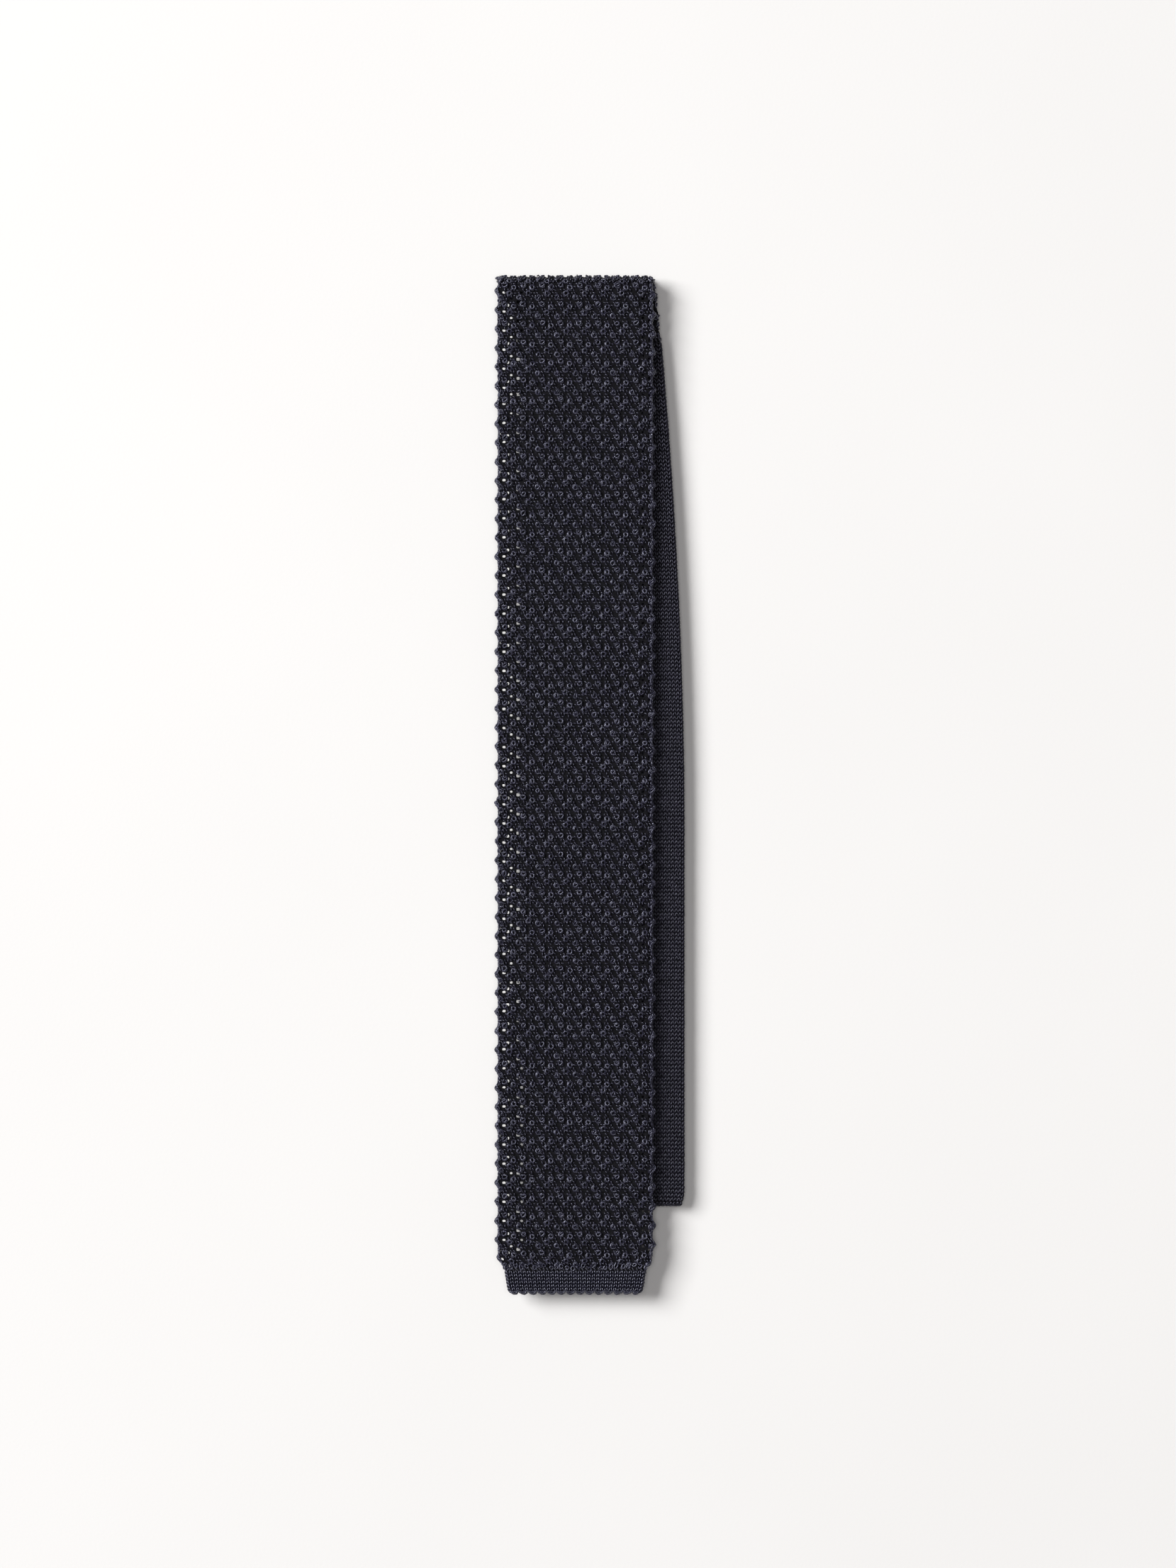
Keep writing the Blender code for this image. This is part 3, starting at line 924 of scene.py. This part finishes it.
LOWER_WIDTH = 37
LOWER_RIGHT = 35.5
LOWER_LEAN = 12
LOWER_FULL = 358.75 * MM
TURN_GRID = (20, 12)
BOTTOM_FOLD_SIDES = (-0.9 * MM, 35.1 * MM)
TAIL_FOLD_SIDES = (-13.5 * MM, 23.5 * MM)


def lower_edges(down):
    """Sides of the lower neck run, which leans a little to the left on its way up."""
    tuck = corner_tuck(down)
    right = (LOWER_RIGHT - LOWER_LEAN * (1 - down / LOWER_FULL)) * MM
    return right - LOWER_WIDTH * MM + tuck, right - tuck


def jersey_turn(name, node, upper_node, lower_node, side, edges, width):
    """A half turn of jersey tube round a fold, between the two runs that it joins."""
    top = measures(upper_node)[5]
    bottom = measures(lower_node)[4]
    low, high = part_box(node)
    radius = (top - bottom) / 2
    axis_y = high[1] - radius if side > 0 else low[1] + radius
    length = math.pi * radius
    thick = even(NECK_THICK)
    path = turned_run(axis_y, (top + bottom) / 2, radius, side, 1, thick)
    place, girth = pressed_tube(width, thick, edges, path, False, STITCH_SINK)
    stitches = jersey(
        f"{name}_stitches", place, girth, 0.0, length, WALE, COURSE, neck_yarn, "front"
    )
    ground = tube_ground(
        f"{name}_ground", place, girth, 0.0, length, *TURN_GRID, STITCH_SINK - NECK_GROUND_SINK,
        neck_ground,
    )
    upper_inner = (0.0, axis_y, top - NECK_THICK)
    for piece in [stitches, ground]:
        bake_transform(piece)
    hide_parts(node)
    return [stitches, ground]


upper_stitches += jersey_turn(
    "neck_fold", "neck_fold_turn", "upper_neck_band", "lower_neck_band", -1,
    straight_edges(*BOTTOM_FOLD_SIDES), 38 * MM,
)

start, end, _, _, bottom, top = measures("lower_neck_band")
lower_path = flat_run(TOP_Y, top, 1, even(NECK_THICK))
lower_place, neck_girth = pressed_tube(
    LOWER_WIDTH * MM, even(NECK_THICK), lower_edges, lower_path, False, STITCH_SINK
)
lower_stitches = [
    jersey(
        f"lower_neck_{label}stitches", lower_place, neck_girth, start, end, WALE, COURSE, neck_yarn,
        wall, rings=2,
    )
    for label, wall in (("", "front"), ("back_", "back"))
]
lower_ground = tube_ground(
    "lower_neck_ground", lower_place, neck_girth, start, end, *NECK_GRID,
    STITCH_SINK - NECK_GROUND_SINK, neck_ground,
)
fitted([*lower_stitches, lower_ground], "lower_neck")
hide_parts("lower_neck_band")
lower_stitches += jersey_turn(
    "tail_fold", "tail_fold_turn", "lower_neck_band", "tail_neck_end", 1,
    straight_edges(*TAIL_FOLD_SIDES), LOWER_WIDTH * MM,
)

# The tail, on the table under everything else: the last of the jersey widens, and is linked by a seam
# to a second tube of open-work silk knit, 50 mm wide, made like the front blade but with fewer loops.

TAIL_MARGIN = 1.8 * MM
TAIL_END_WIDTH = 40 * MM
TAIL_END_GRID = (20, 14)
TAIL_DRAWN_IN = 1.6 * MM
TAIL_GROUND_RISE = 0.1 * MM
TAIL_GRID = (40, 200)
start, end, _, _, bottom, top = measures("tail_neck_end")
_, _, tail_left, tail_right, _, _ = measures("tail_blade")


def tail_end_edges(down):
    """Sides that ease from the lower neck run's width to nearly the tail's."""
    share = np.clip((down - start) / (end - start), 0.0, 1.0)
    share = share * share * (3 - 2 * share)
    near_left, near_right = lower_edges(start)
    return (
        near_left + (tail_left + TAIL_MARGIN - near_left) * share,
        near_right + (tail_right - TAIL_MARGIN - near_right) * share,
    )


tail_end_path = flat_run(TOP_Y, top, 1, even(NECK_THICK))
tail_end_place, tail_end_girth = pressed_tube(
    TAIL_END_WIDTH, even(NECK_THICK), tail_end_edges, tail_end_path, False, STITCH_SINK
)
tail_end_stitches = [
    jersey(
        f"tail_end_{label}stitches", tail_end_place, tail_end_girth, start, end, WALE, COURSE,
        neck_yarn, wall, rings=2,
    )
    for label, wall in (("", "front"), ("back_", "back"))
]
tail_end_ground = tube_ground(
    "tail_end_ground", tail_end_place, tail_end_girth, start, end, *TAIL_END_GRID,
    STITCH_SINK - NECK_GROUND_SINK, neck_ground,
)
fitted([*tail_end_stitches, tail_end_ground], "tail")
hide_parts("tail_neck_end")
tail_seam = seam("tail_neck_seam", "tail_neck_seam", tail_end_edges, "tail", 47 * MM)

start, end, _, _, bottom, top = measures("tail_blade")
tail_edges = drawn_in(tail_left, tail_right, end, TAIL_DRAWN_IN)
tail_path = flat_run(TOP_Y, top, 1, even(top - bottom))
tail_place, tail_girth = pressed_tube(
    tail_right - tail_left, even(top - bottom), tail_edges, tail_path, True
)
tail_pieces = open_knit("tail_blade", tail_place, tail_girth, start, end, False)
tail_pieces.append(edge_knobs("tail_blade_edge_knobs", tail_place, tail_girth, start, end))
tail_pieces.append(last_row("tail_blade_last_row", tail_place, tail_girth, end))
tail_ground = tube_ground(
    "tail_blade_ground", tail_place, tail_girth, start, end, *TAIL_GRID,
    LOOP_SINK - GROUND_SINK + TAIL_GROUND_RISE, blade_ground,
)
fitted([*tail_pieces, tail_ground], "tail")
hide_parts("tail_blade")

# The hems: a band of firm silk jersey, linked on across each blade's end and drawn in a little
# narrower than the blade, and closed by a cast-off edge of thick yarn in small rounded scallops.

HEM_WALE = 1.80 * MM
HEM_COURSE = 1.26 * MM
HEM_GROUND_SINK = 0.66 * MM
HEM_GRID = (30, 8)
HEM_CORNER = 1.3 * MM
HEM_CORNER_LENGTH = 2.5 * MM
CAST_OFF_RADIUS = 0.36 * MM
CAST_OFF_REACH = 1.45 * MM
# Each strand of the cast-off edge: its share of the scallop's depth, and its lift in mm.
CAST_OFF_STRANDS = ((1.0, -0.30), (0.75, 0.05), (0.35, 0.12))
hem_yarn = yarn_finish(
    "silk_hem_yarn", (0.005, 0.005, 0.010, 1.0), (0.019, 0.018, 0.033, 1.0), 0.26, 0.03, 1.0
)


def hem(name, body, scallops, taper):
    """A hem in place of its seam, band and cast-off nodes."""
    seam_start, _, seam_left, seam_right, _, _ = measures(f"{name}_hem_seam")
    start, end, _, _, bottom, top = measures(f"{name}_hem_band")
    tip = measures(f"{name}_cast_off")[1]

    def edges(down):
        share = np.clip((down - seam_start) / (tip - seam_start), 0.0, 1.0)
        rounding = np.clip((down - (tip - HEM_CORNER_LENGTH)) / HEM_CORNER_LENGTH, 0.0, 1.0)
        inward = taper * share + HEM_CORNER * rounding ** 2
        return seam_left + inward, seam_right - inward

    thick = even(top - bottom)
    width = seam_right - seam_left
    path = flat_run(TOP_Y, top, 1, thick)
    place, girth = pressed_tube(width, thick, edges, path, False, STITCH_SINK)
    stitches = [
        jersey(
            f"{name}_hem_{label}stitches", place, girth, start - 0.4 * MM, tip - 1.4 * MM,
            HEM_WALE, HEM_COURSE, hem_yarn, wall, segments=6, rings=4,
        )
        for label, wall in (("", "front"), ("back_", "back"))
    ]
    ground = tube_ground(
        f"{name}_hem_ground", place, girth, start - 0.6 * MM, tip - 1.3 * MM, *HEM_GRID,
        STITCH_SINK - HEM_GROUND_SINK, neck_ground,
    )
    fitted([*stitches, ground], body)
    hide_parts(f"{name}_hem_band")
    across = np.linspace(-0.5, 0.5, scallops * 8 + 1) * girth / 2
    wave = np.abs(np.sin(np.linspace(0.0, math.pi * scallops, len(across)))) ** 0.6
    runs = []
    for wall in (0.0, girth / 2):
        for depth, lift in CAST_OFF_STRANDS:
            wander = rng.normal(0.0, 0.05 * MM, len(across))
            down = tip - 1.7 * MM + depth * CAST_OFF_REACH * wave + wander
            runs.append(place(across + wall, down, lift * MM + 0 * across))
    edge = yarn(f"{name}_cast_off_edge", runs, CAST_OFF_RADIUS, hem_yarn, 6)
    fitted([edge], body)
    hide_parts(f"{name}_cast_off")
    linked = seam(f"{name}_hem_seam", f"{name}_hem_seam", edges, body, width)
    return [*stitches, ground, edge, *linked]


blade_hem = hem("blade", "blade", 14, 1.75 * MM)
tail_hem = hem("tail", "tail", 12, 1.2 * MM)

# The keeper and the care label: a short woven satin tape across the back of the front blade, which the
# tail is slipped through, and a blank woven satin label on the back of the tail. Each is held by a
# worked bar tack of silk thread at both ends.

SELVEDGE_RISE = 0.07 * MM
TAPE_WAVE = 0.04 * MM
TAPE_SURFACE = 0.12 * MM
TAPE_SKIN = 0.14 * MM
THREAD_RADIUS = 0.09 * MM
WRAP_PITCH = 0.16 * MM
KEEPER_WEAVE = 0.5 * MM
LABEL_WEAVE = 0.4 * MM


def satin(name, colour, lit_colour, pitch):
    """Fine satin weave: long floats in rows, with a soft gloss along them."""
    made, shader, place = new_finish(name, {"Specular IOR Level": 0.6, "Sheen Weight": 0.2})
    floats = place.node(
        "ShaderNodeTexWave", {"bands_direction": "X", "wave_profile": "SIN"},
        {
            "Vector": place, "Scale": 0.32 / pitch, "Distortion": 1.5, "Detail": 2.0,
            "Detail Scale": 3.0,
        },
        output=1,
    )
    cloud = grain(place, 260.0)
    connect(ramp(floats * 0.5 + cloud * 0.5, 0.3, colour, 0.75, lit_colour), shader, "Base Color")
    connect(0.38 + 0.2 * cloud, shader, "Roughness")
    bumped(floats, shader, 0.05 * MM, 0.7)
    return made


def tape(name, node, material, body):
    """A flat piece of tape in place of its CAD node, with raised selvedges and a slight wave."""
    low, high = (np.array(corner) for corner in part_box(node))
    size, centre = high - low, (high + low) / 2
    bm = bmesh.new()
    bmesh.ops.create_grid(bm, x_segments=40, y_segments=24, size=0.5)
    for vert in bm.verts:
        x, y = vert.co.x, vert.co.y
        wave = TAPE_WAVE * math.sin(14 * x) * math.cos(9 * y)
        selvedge = SELVEDGE_RISE if abs(y) > 0.44 else 0.0
        vert.co = Vector((
            centre[0] + x * size[0],
            centre[1] + y * size[1],
            high[2] - TAPE_SURFACE + wave + selvedge,
        ))
    grown = bmesh.ops.extrude_face_region(bm, geom=bm.faces[:])
    lowered = [vert for vert in grown["geom"] if isinstance(vert, bmesh.types.BMVert)]
    bmesh.ops.translate(bm, verts=lowered, vec=(0.0, 0.0, TAPE_SKIN - size[2]))
    bmesh.ops.recalc_face_normals(bm, faces=bm.faces)
    made = finished(name, bm, material)
    fitted([made], body)
    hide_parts(node)


def bar_tack(node, body):
    """A worked bar of thread in place of its CAD node: wraps laid close together over a core."""
    low, high = (np.array(corner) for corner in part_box(node))
    size, centre = high - low, (high + low) / 2
    along = 1 if size[1] > size[0] else 0
    wraps = int(size[along] / WRAP_PITCH)
    turn = np.linspace(0.0, 2 * math.pi * wraps, wraps * 8 + 1)
    spots = np.empty((len(turn), 3))
    spots[:, along] = low[along] + size[along] * turn / turn[-1]
    spots[:, 1 - along] = centre[1 - along] + (size[1 - along] / 2 - THREAD_RADIUS) * np.cos(turn)
    spots[:, 2] = centre[2] + (size[2] / 2 - THREAD_RADIUS) * np.sin(turn)
    made = yarn(f"{node}_thread", [spots], THREAD_RADIUS, seam_yarn)
    fitted([made], body)
    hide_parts(node)


keeper_satin = satin(
    "keeper_satin", (0.008, 0.008, 0.012, 1.0), (0.022, 0.022, 0.030, 1.0), KEEPER_WEAVE
)
tape(
    "keeper_tape", "keeper_loop", keeper_satin, "blade",
)
bar_tack("keeper_tack_left", "blade")
bar_tack("keeper_tack_right", "blade")
label_satin = satin(
    "label_satin", (0.010, 0.010, 0.016, 1.0), (0.028, 0.028, 0.040, 1.0), LABEL_WEAVE
)
tape(
    "care_label_cloth", "care_label", label_satin, "tail",
)
bar_tack("care_label_tack_left", "tail")
bar_tack("care_label_tack_right", "tail")
